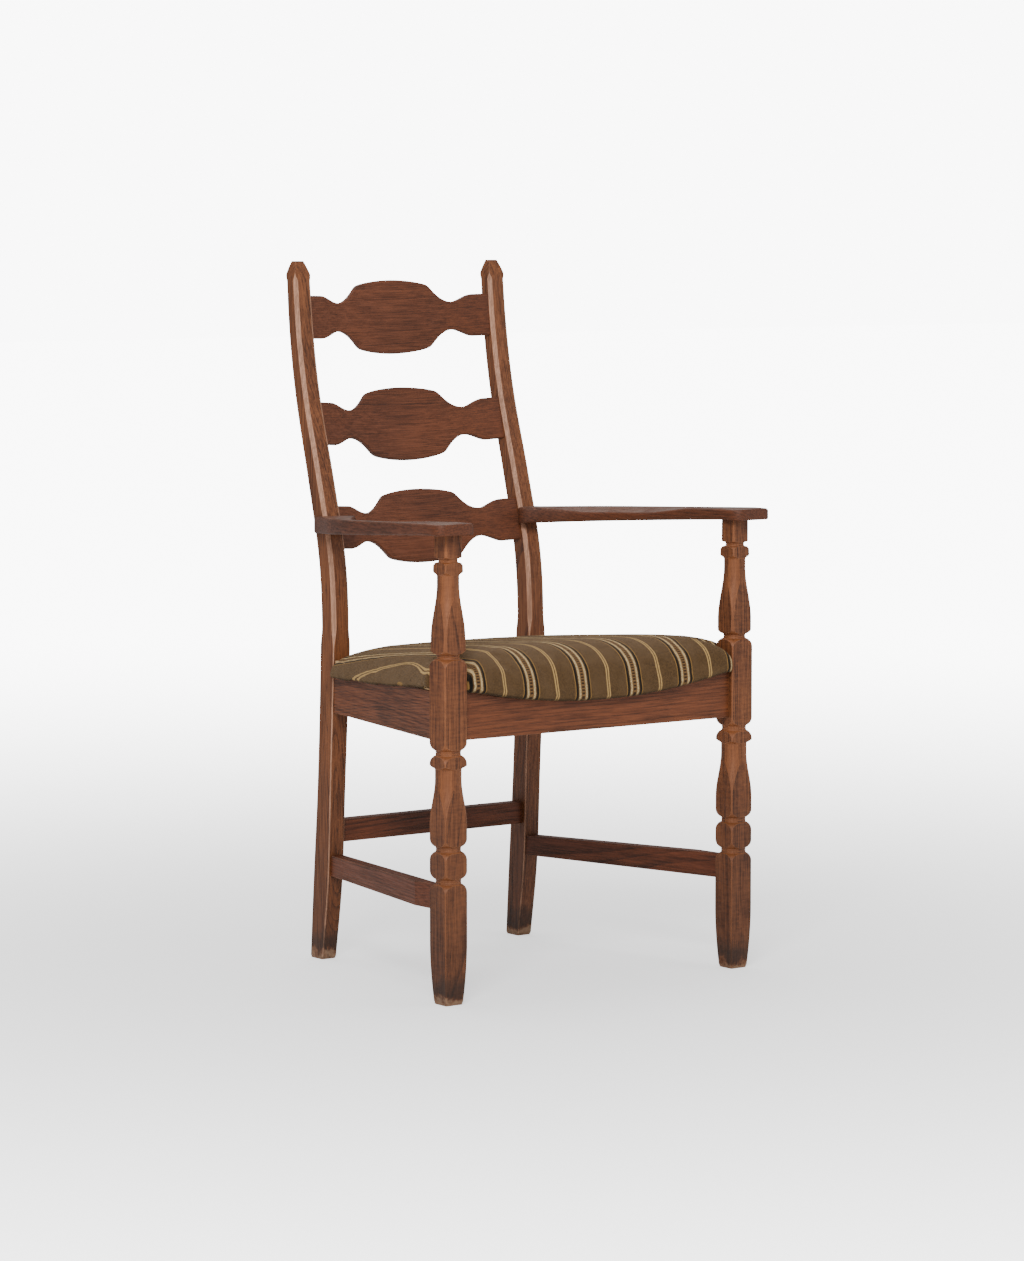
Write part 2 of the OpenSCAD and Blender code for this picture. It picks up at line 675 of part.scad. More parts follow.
module seat_cover() {
    color(wool) placed() difference() {
        union() {
            difference() {
                seat_dome(0);
                seat_dome(-cover_t);
                below_seat();
            }
            translate([0, 0, rail_high + 0.1]) linear_extrude(hem_t) difference() {
                polygon(seat_plan(-1));
                polygon(hem_opening);
                translate([-leg_spread / 2, board_front - 200]) square([leg_spread, 200]);
            }
        }
        both_sides() { seat_screw_shapes(fit); staple_shapes(loose); }
    }
}

// The opening left by the turned-in edge, and the dust cloth that closes it from below
hem_opening = [[-rail_in(60) - 22, 0], [rail_in(60) + 22, 0],
               [rail_in(360) + 22, 360], [-rail_in(360) - 22, 360]];
cloth_t = 0.6;
module dust_cloth() {
    color("dimgray") placed() difference() {
        translate([0, 0, rail_high - cloth_t]) linear_extrude(cloth_t)
            polygon([[rail_in(58) + 4, 58], [-rail_in(58) - 4, 58],
                     [-rail_in(368) - 20, 368], [rail_in(368) + 20, 368]]);
        both_sides() staple_shapes(loose);
    }
}

// Staples of the left half, up through the cloth and the turned-in edge into the board
staple_w = 10;
staple_leg = 7;
staple_wire = 0.8;
module staple_shapes(grow = 0) {
    for (y = [90 : 45 : 315])
        translate([rail_in(y) + 12, y - staple_w / 2, rail_high - cloth_t - staple_wire - 0.1]) {
            translate([-grow, -grow, -grow])
                cube([staple_wire + 2 * grow, staple_w + 2 * grow, staple_wire + 2 * grow]);
            for (k = [0, 1]) translate([-grow, k * (staple_w - staple_wire) - grow, 0])
                cube([staple_wire + 2 * grow, staple_wire + 2 * grow, staple_leg + grow]);
        }
}

// ------------------------------------------------------------ the pieces

module corner_block_screws() { color(steel) placed() both_sides() block_screw_shapes(); }
module seat_fixing_screws() { color(steel) placed() both_sides() seat_screw_shapes(); }
module armrest_screws() { color(steel) placed() both_sides() armrest_screw_shape(); }
module armrest_plugs() { color(oak) placed() both_sides() armrest_plug(); }
module cover_staples() { color(steel) placed() both_sides() staple_shapes(); }

rear_post();  // rear_post_left
right_hand() rear_post();  // rear_post_right
front_leg();  // front_leg_left
right_hand() front_leg();  // front_leg_right
slat(slat_z[2]);  // back_slat_top
slat(slat_z[1]);  // back_slat_middle
slat(slat_z[0]);  // back_slat_bottom
armrest();  // armrest_left
right_hand() armrest();  // armrest_right
front_rail();
rear_rail();
side_rail();  // side_rail_left
right_hand() side_rail();  // side_rail_right
side_stretcher();  // side_stretcher_left
right_hand() side_stretcher();  // side_stretcher_right
rear_stretcher();
corner_block(true);  // corner_block_front_left
right_hand() corner_block(true);  // corner_block_front_right
corner_block(false);  // corner_block_rear_left
right_hand() corner_block(false);  // corner_block_rear_right
corner_block_screws();
seat_fixing_screws();
armrest_screws();
armrest_plugs();
seat_board();
seat_padding();
seat_cover();
cover_staples();
dust_cloth();
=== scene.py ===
"""The looks of the oak armchair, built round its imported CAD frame."""

import math

import bmesh
import bpy
from mathutils import Euler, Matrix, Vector


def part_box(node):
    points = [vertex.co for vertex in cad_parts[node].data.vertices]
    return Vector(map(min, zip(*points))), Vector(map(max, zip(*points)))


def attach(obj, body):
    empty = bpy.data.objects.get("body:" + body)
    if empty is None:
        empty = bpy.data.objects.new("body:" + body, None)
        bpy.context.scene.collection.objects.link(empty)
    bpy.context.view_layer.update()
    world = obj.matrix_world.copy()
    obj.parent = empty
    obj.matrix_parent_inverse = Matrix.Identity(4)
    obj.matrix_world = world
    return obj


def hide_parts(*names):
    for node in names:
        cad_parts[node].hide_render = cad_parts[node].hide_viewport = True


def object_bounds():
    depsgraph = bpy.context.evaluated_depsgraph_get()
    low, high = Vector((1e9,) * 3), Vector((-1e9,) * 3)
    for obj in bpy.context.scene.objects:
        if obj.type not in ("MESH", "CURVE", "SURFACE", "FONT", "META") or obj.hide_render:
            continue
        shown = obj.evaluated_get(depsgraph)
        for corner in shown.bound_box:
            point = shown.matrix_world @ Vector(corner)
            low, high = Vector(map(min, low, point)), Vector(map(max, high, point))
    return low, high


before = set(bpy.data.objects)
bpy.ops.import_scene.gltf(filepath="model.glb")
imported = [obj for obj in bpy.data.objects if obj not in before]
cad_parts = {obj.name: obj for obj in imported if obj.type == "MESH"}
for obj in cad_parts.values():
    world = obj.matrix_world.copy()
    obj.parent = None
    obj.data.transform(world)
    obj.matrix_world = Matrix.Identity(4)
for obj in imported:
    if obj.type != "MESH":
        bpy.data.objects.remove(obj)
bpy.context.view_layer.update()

MM = 0.001
LEG_LO, LEG_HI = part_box("front_leg_left")
LEG_X = (LEG_LO.x + LEG_HI.x) / 2
LEG_Y = (LEG_LO.y + LEG_HI.y) / 2
CHAIR_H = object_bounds()[1].z


# ---------------------------------------------------------------- helpers


def smooth(u):
    v = min(max(u, 0.0), 1.0)
    return v * v * (3 - 2 * v)


def slope(table, i, column):
    a, b = table[max(i - 1, 0)], table[min(i + 1, len(table) - 1)]
    return (b[column] - a[column]) / (b[0] - a[0])


def curve(table, v, column):
    """Smooth curve through one column of a table, whose first column is the station."""
    i = 0
    while i < len(table) - 2 and v >= table[i + 1][0]:
        i += 1
    h = table[i + 1][0] - table[i][0]
    u = min(max((v - table[i][0]) / h, 0.0), 1.0)
    return (
        (2 * u**3 - 3 * u**2 + 1) * table[i][column]
        + (u**3 - 2 * u**2 + u) * h * slope(table, i, column)
        + (3 * u**2 - 2 * u**3) * table[i + 1][column]
        + (u**3 - u**2) * h * slope(table, i + 1, column)
    )


def spread(start, stop, step):
    """Values from start to stop, about step apart, both ends included."""
    count = max(1, round((stop - start) / step))
    return [start + (stop - start) * k / count for k in range(count + 1)]


def new_object(name, mesh, material):
    piece = bpy.data.objects.new(name, mesh)
    bpy.context.collection.objects.link(piece)
    piece.data.materials.append(material)
    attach(piece, "root")
    return piece


def loft(name, rings, material, sharp=28):
    """A closed mesh through rings of equal length, given in millimetres from the leg line."""
    mesh = bpy.data.meshes.new(name)
    bm = bmesh.new()
    rows = [
        [bm.verts.new((x * MM, LEG_Y + y * MM, z * MM)) for x, y, z in ring] for ring in rings
    ]
    count = len(rings[0])
    for low, high in zip(rows, rows[1:]):
        for j in range(count):
            k = (j + 1) % count
            bm.faces.new((low[j], low[k], high[k], high[j]))
    bm.faces.new(rows[0])
    bm.faces.new(rows[-1])
    bmesh.ops.remove_doubles(bm, verts=bm.verts, dist=1e-6)
    bmesh.ops.recalc_face_normals(bm, faces=bm.faces)
    for face in bm.faces:
        face.smooth = True
    bm.to_mesh(mesh)
    bm.free()
    mesh.set_sharp_from_angle(angle=math.radians(sharp))
    return new_object(name, mesh, material)


def mirrored(rings):
    return [[(-x, y, z) for x, y, z in ring] for ring in rings]


# -------------------------------------------------------------- materials


class Graph:
    """A material's node tree, with short names for the nodes that it uses most."""

    def __init__(self, name):
        self.material = bpy.data.materials.new(name)
        self.material.use_nodes = True
        self.tree = self.material.node_tree
        self.shader = self.tree.nodes["Principled BSDF"]

    def feed(self, socket, value):
        if isinstance(value, bpy.types.NodeSocket):
            self.tree.links.new(value, socket)
        else:
            socket.default_value = value

    def node(self, kind, inputs, **settings):
        made = self.tree.nodes.new(kind)
        for key, value in settings.items():
            setattr(made, key, value)
        for key, value in inputs.items():
            self.feed(made.inputs[key], value)
        return made

    def math(self, operation, a, b=0.0, clamp=False):
        made = self.node("ShaderNodeMath", {0: a, 1: b}, operation=operation, use_clamp=clamp)
        return made.outputs[0]

    def vector(self, operation, a, b):
        return self.node("ShaderNodeVectorMath", {0: a, 1: b}, operation=operation).outputs[0]

    def dot(self, a, b):
        made = self.node("ShaderNodeVectorMath", {0: a, 1: b}, operation="DOT_PRODUCT")
        return made.outputs["Value"]

    def turn(self, coords, angles, scale=(1, 1, 1), shift=(0, 0, 0)):
        inputs = {"Vector": coords, "Rotation": angles, "Scale": scale, "Location": shift}
        return self.node("ShaderNodeMapping", inputs).outputs[0]

    def stretch(self, coords, scale):
        return self.turn(coords, (0, 0, 0), scale)

    def noise(self, coords, scale, detail=3.0, roughness=0.55):
        inputs = {"Vector": coords, "Scale": scale, "Detail": detail, "Roughness": roughness}
        return self.node("ShaderNodeTexNoise", inputs).outputs["Fac"]

    def split(self, coords):
        return self.node("ShaderNodeSeparateXYZ", {0: coords}).outputs

    def join(self, x, y, z):
        return self.node("ShaderNodeCombineXYZ", {0: x, 1: y, 2: z}).outputs[0]

    def range(self, value, low, high, to_low=0.0, to_high=1.0):
        inputs = {0: value, 1: low, 2: high, 3: to_low, 4: to_high}
        made = self.node("ShaderNodeMapRange", inputs, interpolation_type="SMOOTHSTEP")
        return made.outputs[0]

    def mix(self, share, a, b, blend="MIX"):
        made = self.tree.nodes.new("ShaderNodeMix")
        made.data_type = "RGBA"
        made.blend_type = blend
        self.feed(made.inputs[0], share)
        self.feed(made.inputs[6], a)
        self.feed(made.inputs[7], b)
        return made.outputs[2]

    def coords(self):
        return self.node("ShaderNodeTexCoord", {}).outputs["Object"]


def rgb(red, green, blue):
    """Linear colour from the usual 0 to 255 display values."""
    return tuple(
        (v / 255 / 12.92 if v < 10.3 else ((v / 255 + 0.055) / 1.055) ** 2.4)
        for v in (red, green, blue)
    ) + (1.0,)


def scaled(colour, factor):
    return tuple(factor * v for v in colour[:3]) + (1.0,)


# turns that bring the fibres' axis to Z
GRAIN = {"X": (0, -math.pi / 2, 0), "Y": (math.pi / 2, 0, 0), "Z": (0, 0, 0)}


def oak(name, light, dark, grain, lean=0.0, tilt=(0.05, 0.03), ring=0.0042, heart=(0.05, 0.09),
        contrast=0.6, feet=False, chamfer_highlight=False, turned_highlight=0.0, curl=0.0, sheen_and_polish=0.0,
        wear=0.55, round_r=0.0011):
    """Stained oak. grain is the axis along the fibres, lean its angle in plan, and tilt and
    heart say how the board lay in the tree; ring is the width of a year's growth.
    turned_highlight paints a highlight on the turned surfaces, chamfer_highlight one on the
    chamfers, curl adds faint ripples across the fibres, sheen_and_polish paints a grey sheen
    of light on the faces that look up and makes them glossier, and wear is how pale the
    edges are rubbed."""
    g = Graph(name)
    raw = g.coords()
    random = g.node("ShaderNodeObjectInfo", {}).outputs["Random"]
    aligned = g.turn(g.turn(raw, (0, 0, lean)), GRAIN[grain])
    moved = g.vector("ADD", aligned, g.join(0, 0, g.math("MULTIPLY", random, 7.0)))
    tree = g.turn(moved, (tilt[0], tilt[1], 0), shift=(heart[0], heart[1], 0))

    # growth rings round the tree's heart, wavy along the board
    wave = g.node("ShaderNodeTexNoise", {"Vector": g.stretch(moved, (9, 9, 2.2)),
                                         "Scale": 1.0, "Detail": 1.0}).outputs["Color"]
    wave = g.vector("MULTIPLY", g.vector("SUBTRACT", wave, (0.5, 0.5, 0.5)), (0.022,) * 3)
    x, y, z = g.split(g.vector("ADD", tree, wave))
    radius = g.math("SQRT", g.math("ADD", g.math("MULTIPLY", x, x), g.math("MULTIPLY", y, y)))
    year = g.math("DIVIDE", radius, ring)
    uneven = g.noise(g.join(year, 0, 0), 0.9, 1.0)
    year = g.math("ADD", year, g.math("MULTIPLY", uneven, 1.4))
    phase = g.math("FRACT", year)
    early = g.range(phase, 0.0, 0.34, 1.0, 0.0)
    late = g.range(phase, 0.62, 1.0)

    # vessels: dark dashes along the fibres, mostly in the early wood
    dashes = g.noise(g.stretch(moved, (900, 900, 38)), 1.0, 2.0)
    vessels = g.math("MULTIPLY", g.range(dashes, 0.50, 0.66),
                     g.math("ADD", g.math("MULTIPLY", early, 0.85), 0.22))
    coarse = g.noise(g.stretch(moved, (330, 330, 14)), 1.0, 3.0, 0.65)
    fibres = g.noise(g.stretch(moved, (1800, 1800, 60)), 1.0, 2.0)
    # rays: small pale flecks across the rings
    angle = g.math("MULTIPLY", g.math("ARCTAN2", y, x), radius)
    rays = g.noise(g.join(g.math("MULTIPLY", angle, 700), g.math("MULTIPLY", radius, 110),
                          g.math("MULTIPLY", z, 260)), 1.0, 1.0)
    rays = g.range(rays, 0.64, 0.74)
    blotch = g.noise(g.stretch(moved, (14, 14, 5)), 1.0, 3.0)
    ripples = g.noise(g.stretch(moved, (55, 55, 240)), 1.0, 2.0, 0.6)

    tone = g.math("MULTIPLY", early, 0.55 * contrast)
    tone = g.math("ADD", tone, g.math("MULTIPLY", late, -0.10 * contrast))
    tone = g.math("ADD", tone, g.range(coarse, 0.30, 0.72, -0.38 * contrast, 0.62 * contrast))
    tone = g.math("ADD", tone, g.range(fibres, 0.35, 0.65, -0.10, 0.14))
    tone = g.math("ADD", tone, g.range(blotch, 0.3, 0.7, -0.16, 0.22))
    tone = g.math("ADD", tone, g.range(ripples, 0.35, 0.68, -0.5 * curl, curl))
    tone = g.math("ADD", tone, 0.26, clamp=True)
    colour = g.mix(tone, light, dark)
    colour = g.mix(g.math("MULTIPLY", vessels, 0.62), colour, scaled(dark, 0.30))
    colour = g.mix(g.math("MULTIPLY", rays, 0.22), colour, scaled(light, 1.5))

    # edges: rubbed pale, with rounded shading
    rounded = g.node("ShaderNodeBevel", {"Radius": round_r}, samples=6).outputs[0]
    surface = g.node("ShaderNodeNewGeometry", {}).outputs
    normal = surface["Normal"]
    bend = g.math("SUBTRACT", 1.0, g.dot(rounded, normal))
    rub = g.noise(raw, 60.0, 4.0, 0.7)
    edge = g.math("MULTIPLY", g.range(bend, 0.008, 0.11), g.range(rub, 0.30, 0.56))
    worn = g.mix(0.5, light, rgb(214, 168, 138))
    colour = g.mix(g.math("MULTIPLY", edge, wear), colour, worn)

    nx, ny, nz = g.split(surface["True Normal"])
    if chamfer_highlight:
        # painted highlight: faces that look diagonally, the chamfers, are lightened as if catching the
        # light, streaked with the grain
        diagonal = g.math("ABSOLUTE", g.math("MULTIPLY", nx, ny))
        streaks = g.range(g.math("ADD", coarse, fibres), 0.7, 1.2, 1, 0.45)
        band = g.math("MULTIPLY", g.range(diagonal, 0.38, 0.47), streaks)
        colour = g.mix(g.math("MULTIPLY", band, 0.85), colour, rgb(212, 160, 130))
    if turned_highlight:
        # painted highlight: faces whose normals lie off the square's sides, mostly the turned ones, are
        # lightened as if catching the light
        square = g.math("MAXIMUM", g.math("ABSOLUTE", nx), g.math("ABSOLUTE", ny))
        paler = g.range(square, 0.93, 0.99, turned_highlight, 0.0)
        colour = g.mix(paler, colour, scaled(light, 1.45))
    if feet:
        # painted shade: the wood is darkened towards the floor, where less light reaches it; the dark
        # stain band and pale scuffs below are real
        height = g.split(raw)[2]
        painted_shade_low_down = g.range(height, 0.05, 0.42, 0.66, 1.0)
        colour = g.mix(1.0, colour, g.join(painted_shade_low_down, painted_shade_low_down, painted_shade_low_down), "MULTIPLY")
        ragged = g.math("ADD", height, g.math("MULTIPLY", g.noise(raw, 34.0, 5.0, 0.65), 0.065))
        stain = g.math("MULTIPLY", g.range(ragged, 0.040, 0.050), g.range(ragged, 0.056, 0.085, 1, 0))
        colour = g.mix(g.math("MULTIPLY", stain, 0.68), colour, rgb(40, 28, 21))
        scuff = g.math("MULTIPLY", g.range(ragged, 0.036, 0.046, 1, 0), g.range(rub, 0.30, 0.55))
        colour = g.mix(g.math("MULTIPLY", scuff, 0.55), colour, rgb(158, 128, 102))
    roughness = g.range(coarse, 0.3, 0.7, 0.50, 0.64)
    if sheen_and_polish:
        # painted sheen: faces that look up get a grey reflection of the overhead light; they are also made
        # glossier
        up = g.range(nz, 0.75, 0.99)
        painted_sheen = g.math("MULTIPLY", up, g.range(g.noise(raw, 26.0, 5.0, 0.65), 0.34, 0.62))
        colour = g.mix(g.math("MULTIPLY", painted_sheen, sheen_and_polish), colour, rgb(134, 112, 100))
        roughness = g.math("SUBTRACT", roughness, g.math("MULTIPLY", up, 0.12))

    relief = g.math("SUBTRACT", g.math("MULTIPLY", coarse, 0.35), vessels)
    bump = g.node("ShaderNodeBump", {"Height": relief, "Normal": rounded,
                                     "Strength": 0.35, "Distance": 0.0004})
    g.feed(g.shader.inputs["Base Color"], colour)
    g.feed(g.shader.inputs["Roughness"], roughness)
    g.feed(g.shader.inputs["Normal"], bump.outputs[0])
    g.shader.inputs["Specular IOR Level"].default_value = 0.35
    return g.material


STRIPE_PITCH = 95.6  # from one banded stripe of the wool to the next, mm
STRIPE_START = 55.5  # the middle of one of them, right of the chair's middle, mm
RUNG_PITCH = 5.6  # of the dark rungs along the middle of a band, mm


def wool():
    """Olive brown wool with a banded stripe and, between two of them, a pair of gold lines."""
    g = Graph("wool")
    raw = g.coords()
    wander = g.math("MULTIPLY", g.math("SUBTRACT", g.noise(raw, 22.0, 2.0), 0.5), 2.0)
    across = g.node("ShaderNodeAttribute", {}, attribute_name="across").outputs["Fac"]
    y = g.node("ShaderNodeAttribute", {}, attribute_name="along").outputs["Fac"]
    x = g.math("ADD", across, wander)
    turn = g.math("DIVIDE", g.math("SUBTRACT", x, STRIPE_START), STRIPE_PITCH)
    centred = g.math("SUBTRACT", g.math("FRACT", g.math("ADD", turn, 100.5)), 0.5)
    away = g.math("MULTIPLY", g.math("ABSOLUTE", centred), STRIPE_PITCH)

    threads = g.noise(g.stretch(raw, (500, 130, 500)), 1.0, 3.0, 0.6)
    blotch = g.noise(raw, 45.0, 3.0)
    field = g.mix(g.range(threads, 0.3, 0.7), rgb(104, 78, 48), rgb(70, 51, 31))
    field = g.mix(g.range(blotch, 0.35, 0.65, 0, 0.30), field, rgb(108, 84, 58))

    def line(low, high, soft=0.35):
        return g.math("MULTIPLY", g.range(away, low - soft, low + soft),
                      g.range(away, high - soft, high + soft, 1, 0))

    ochre, cream, black = rgb(124, 92, 56), rgb(214, 186, 138), rgb(14, 12, 10)
    colour = g.mix(line(13.4, 14.9), field, rgb(150, 112, 60))
    colour = g.mix(line(7.8, 9.7), colour, rgb(84, 61, 37))
    colour = g.mix(line(9.7, 13.2), colour, black)
    strand = g.range(g.noise(g.stretch(raw, (900, 90, 900)), 1.0, 2.0), 0.4, 0.6)
    colour = g.mix(line(4.1, 7.8), colour, g.mix(strand, cream, rgb(172, 142, 96)))
    rung = g.range(g.math("SINE", g.math("MULTIPLY", y, 2 * math.pi / RUNG_PITCH)), -0.5, 0.2)
    rung = g.math("MULTIPLY", rung, g.range(away, 2.0, 3.0, 1, 0))
    colour = g.mix(line(-2.0, 4.1), colour, g.mix(rung, ochre, rgb(52, 34, 20)))
    half = STRIPE_PITCH / 2
    colour = g.mix(line(half - 3.1, half + 1.0), colour, rgb(190, 154, 98))
    colour = g.mix(line(half - 0.8, half + 1.0), colour, rgb(84, 60, 36))

    warp = g.math("SINE", g.math("MULTIPLY", x, 2 * math.pi / 1.5))
    weft = g.math("SINE", g.math("MULTIPLY", y, 2 * math.pi / 1.3))
    weave = g.math("MULTIPLY", warp, weft)
    shade = g.range(g.math("ADD", g.math("MULTIPLY", weave, 0.35), threads), 0.2, 0.9, 0.72, 1.12)
    # painted shadow: the cover is darkened along its lower edge, where it overhangs the rails
    hem = g.node("ShaderNodeAttribute", {}, attribute_name="hem").outputs["Fac"]
    shade = g.math("MULTIPLY", shade, g.range(hem, -1.0, 5.0, 0.30, 1.0))
    colour = g.mix(1.0, colour, g.join(shade, shade, shade), "MULTIPLY")
    bump = g.node("ShaderNodeBump", {"Height": g.math("ADD", weave, threads),
                                     "Strength": 0.5, "Distance": 0.0005})
    g.feed(g.shader.inputs["Base Color"], colour)
    g.feed(g.shader.inputs["Normal"], bump.outputs[0])
    g.shader.inputs["Roughness"].default_value = 0.92
    g.shader.inputs["Specular IOR Level"].default_value = 0.15
    g.shader.inputs["Sheen Weight"].default_value = 0.22
    g.shader.inputs["Sheen Roughness"].default_value = 0.5
    g.shader.inputs["Sheen Tint"].default_value = rgb(205, 180, 150)
    return g.material


def plain(name, first, second, scale, roughness, metallic=0.0, stretch=(1, 1, 1)):
    """A mottled material for what is mostly hidden: screws, dust cloth, corner blocks and plywood."""
    g = Graph(name)
    grain = g.noise(g.stretch(g.coords(), stretch), scale, 4.0, 0.6)
    bump = g.node("ShaderNodeBump", {"Height": grain, "Strength": 0.3, "Distance": 0.0004})
    g.feed(g.shader.inputs["Base Color"], g.mix(g.range(grain, 0.3, 0.7), first, second))
    g.feed(g.shader.inputs["Roughness"], g.range(grain, 0.3, 0.7, roughness - 0.1, roughness))
    g.feed(g.shader.inputs["Normal"], bump.outputs[0])
    g.shader.inputs["Metallic"].default_value = metallic
    return g.material


# ------------------------------------------------------------- front legs

NECKS = [(180.3, 18.5), (227.3, 18.2), (367.3, 18.4), (506.7, 16.6), (645.9, 14.05)]
FULL = 27.2  # turned radius that leaves the square's corners whole
SHOULDER_R, SHOULDER_H = 13, 16
# each vase: its start and end, radii of belly and neck, then the collar's foot, lip and radius
VASES = [(262, 330, 27.2, 19.3, 343, 348.5, 25.6), (532, 612, 25.2, 16.2, 623, 629.5, 21.6)]
LEG_TOP_R, TOP_SQUARE_Z, UPPER_VASE_Z = 19.9, 640, 506
LEG_SIDE, LEG_FOOT, LEG_TOP = 40, 30.5, 29
LEG_TOP_Z = 684
FOOT_EASE_Z, NARROWING_Z = 100, 515  # the square narrows below the first and above the second
FACE_STEPS, ARC_STEPS = 3, 5


def leg_square(z):
    if z < FOOT_EASE_Z:
        return LEG_SIDE - (LEG_SIDE - LEG_FOOT) * (1 - z / FOOT_EASE_Z) ** 2
    if z < NARROWING_Z:
        return LEG_SIDE
    return LEG_SIDE - (LEG_SIDE - LEG_TOP) * (z - NARROWING_Z) / (LEG_TOP_Z - NARROWING_Z)


def leg_turned(z):
    r = LEG_TOP_R if z > TOP_SQUARE_Z else FULL
    for start, end, belly, neck, foot, lip, collar in VASES:
        if UPPER_VASE_Z < z <= start:
            r = belly
        elif start < z <= foot:
            share = min((z - start) / (end - start), 1)
            r = neck + (belly - neck) * (0.5 + 0.5 * math.cos(math.pi * share))
        elif foot < z <= lip:
            r = neck + (collar - neck) * smooth((z - foot) / (lip - foot)) ** 1.5
    for middle, neck in NECKS:
        dz = abs(z - middle)
        reach = max(0, SHOULDER_H - dz)
        rise = 0 if reach >= SHOULDER_R else FULL - SHOULDER_R + math.sqrt(SHOULDER_R**2 - reach**2)
        line = 0.7 * max(0, 1 - dz / 0.8)  # the thin scored line round each neck
        r = min(r, max(neck - line, rise))
    return r


def leg_ring(z):
    """The square column cut by the turned radius, with points exactly where they meet."""
    side = leg_square(z) / 2 * (1 - 0.06 * max(0, 1 - z / 5))
    r = leg_turned(z)
    corner = 1.4
    diagonal = 2 * side - corner

    def reach(a):
        c, s = abs(math.cos(a)), abs(math.sin(a))
        return min(side / max(c, s), diagonal / (c + s), r)

    meet = math.acos(min(side / r, 1)) if r < math.hypot(side, side - corner) else math.atan2(
        side - corner, side)
    meet = max(meet, math.radians(2.5))
    half = [meet * k / FACE_STEPS for k in range(FACE_STEPS)]
    half += [meet + (math.pi / 4 - meet) * k / ARC_STEPS for k in range(ARC_STEPS + 1)]
    quarter = half + [math.pi / 2 - a for a in reversed(half[1:-1])]
    angles = [a + q * math.pi / 2 for q in range(4) for a in quarter]
    x0 = LEG_X / MM
    return [(x0 + reach(a) * math.cos(a), reach(a) * math.sin(a), z) for a in angles]


def build_legs(material):
    levels = set(spread(0, LEG_TOP_Z, 2.5))
    for middle, _ in NECKS:
        levels |= set(spread(middle - 17, middle + 17, 0.8)) | {middle}
    for *_, foot, lip, _ in VASES:
        levels |= set(spread(foot, lip + 1.5, 0.5))
    levels = sorted(z for z in levels if 0 <= z <= LEG_TOP_Z)
    levels = [z for k, z in enumerate(levels) if k == 0 or z - levels[k - 1] > 0.15]
    rings = [leg_ring(z) for z in levels]
    for side, shape in (("left", rings), ("right", mirrored(rings))):
        leg = loft("oak_leg_" + side, shape, material, sharp=24)
        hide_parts("front_leg_" + side)


# ------------------------------------------------------------------ posts

POST = [
    (0, 441, 32.5, 26.5), (120, 428, 40, 28), (260, 418.5, 36, 29), (400, 411, 35.5, 30.5),
    (520, 407, 36.5, 32), (620, 415.5, 36.5, 32), (740, 446, 34.5, 32), (860, 480, 31.5, 31.5),
    (960, 498.5, 29.5, 31.5), (1070, 509.2, 27, 31),
]
POST_FOOT, POST_TOP = 187.5, 184  # half the distance between the posts' middles
FINIAL_H, FINIAL_W, FINIAL_D = 28, 0.47, 0.40
CHAMFER, EASE = 5.5, 1.5
CHAMFER_START, CHAMFER_RUN = 482, 34


def post_x(z):
    return POST_FOOT + (POST_TOP - POST_FOOT) * z * MM / CHAIR_H


def post_y(z):
    return curve(POST, z, 1)


def post_ring(z):
    top = CHAIR_H / MM
    tip = max(0, (z - (top - FINIAL_H)) / FINIAL_H) ** 1.4
    foot = 1 - 0.08 * max(0, 1 - z / 4)
    w = curve(POST, z, 3) * (1 - (1 - FINIAL_W) * tip) * foot / 2
    d = curve(POST, z, 2) * (1 - (1 - FINIAL_D) * tip) * foot / 2
    e = EASE + (CHAMFER - EASE) * smooth((z - CHAMFER_START) / CHAMFER_RUN)
    e *= 1 - 0.92 * smooth((z - (top - FINIAL_H) + 3) / 12)
    x, y = -post_x(z), post_y(z)
    corners = [(w - e, -d), (w, -d + e), (w, d - e), (w - e, d),
               (-w + e, d), (-w, d - e), (-w, -d + e), (-w + e, -d)]
    return [(x + px, y + py, z) for px, py in corners]


def build_posts(material):
    top = CHAIR_H / MM
    levels = [0, 1, 2.5, 4] + spread(8, CHAMFER_START, 8) + spread(CHAMFER_START + 2, 520, 2)
    levels += spread(526, top - 33, 6) + spread(top - 31, top, 1.5)
    rings = [post_ring(z) for z in levels]
    for side, shape in (("left", rings), ("right", mirrored(rings))):
        post = loft("oak_post_" + side, shape, material, sharp=16)
        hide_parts("rear_post_" + side)


# ------------------------------------------------------------------ slats

SLATS = ("back_slat_bottom", 665), ("back_slat_middle", 822), ("back_slat_top", 984)
GAP_Z = 820  # height at which the gap between the posts is taken, for all three slats
SLAT_T, SLAT_BOW, SLAT_ROUND = 10, 24, 2.0
SLAT_END, SLAT_WAIST, SLAT_CROWN = 33, 22, 57.5
WAIST_X, END_RUN = 108, 36
ARCH, ARCH_X = 7.5, 66  # fall of the arch from the middle to the shoulder
FLANK, BLEND = 0.0175, 5  # rise of the hollow flank per mm squared, rounding of the shoulder


def slat_edge(x):
    """Half height of a slat: level end, waist, hollow flank, then an arched middle."""
    a = abs(x)
    if a > WAIST_X:
        return SLAT_WAIST + (SLAT_END - SLAT_WAIST) * smooth((a - WAIST_X) / END_RUN)
    flank = SLAT_WAIST + FLANK * (WAIST_X - a) ** 2
    middle = SLAT_CROWN - ARCH * (a / ARCH_X) ** 2
    blend = (flank + middle - math.sqrt((flank - middle) ** 2 + BLEND**2)) / 2
    return blend + (BLEND / 2) ** 2 / (middle - SLAT_WAIST)


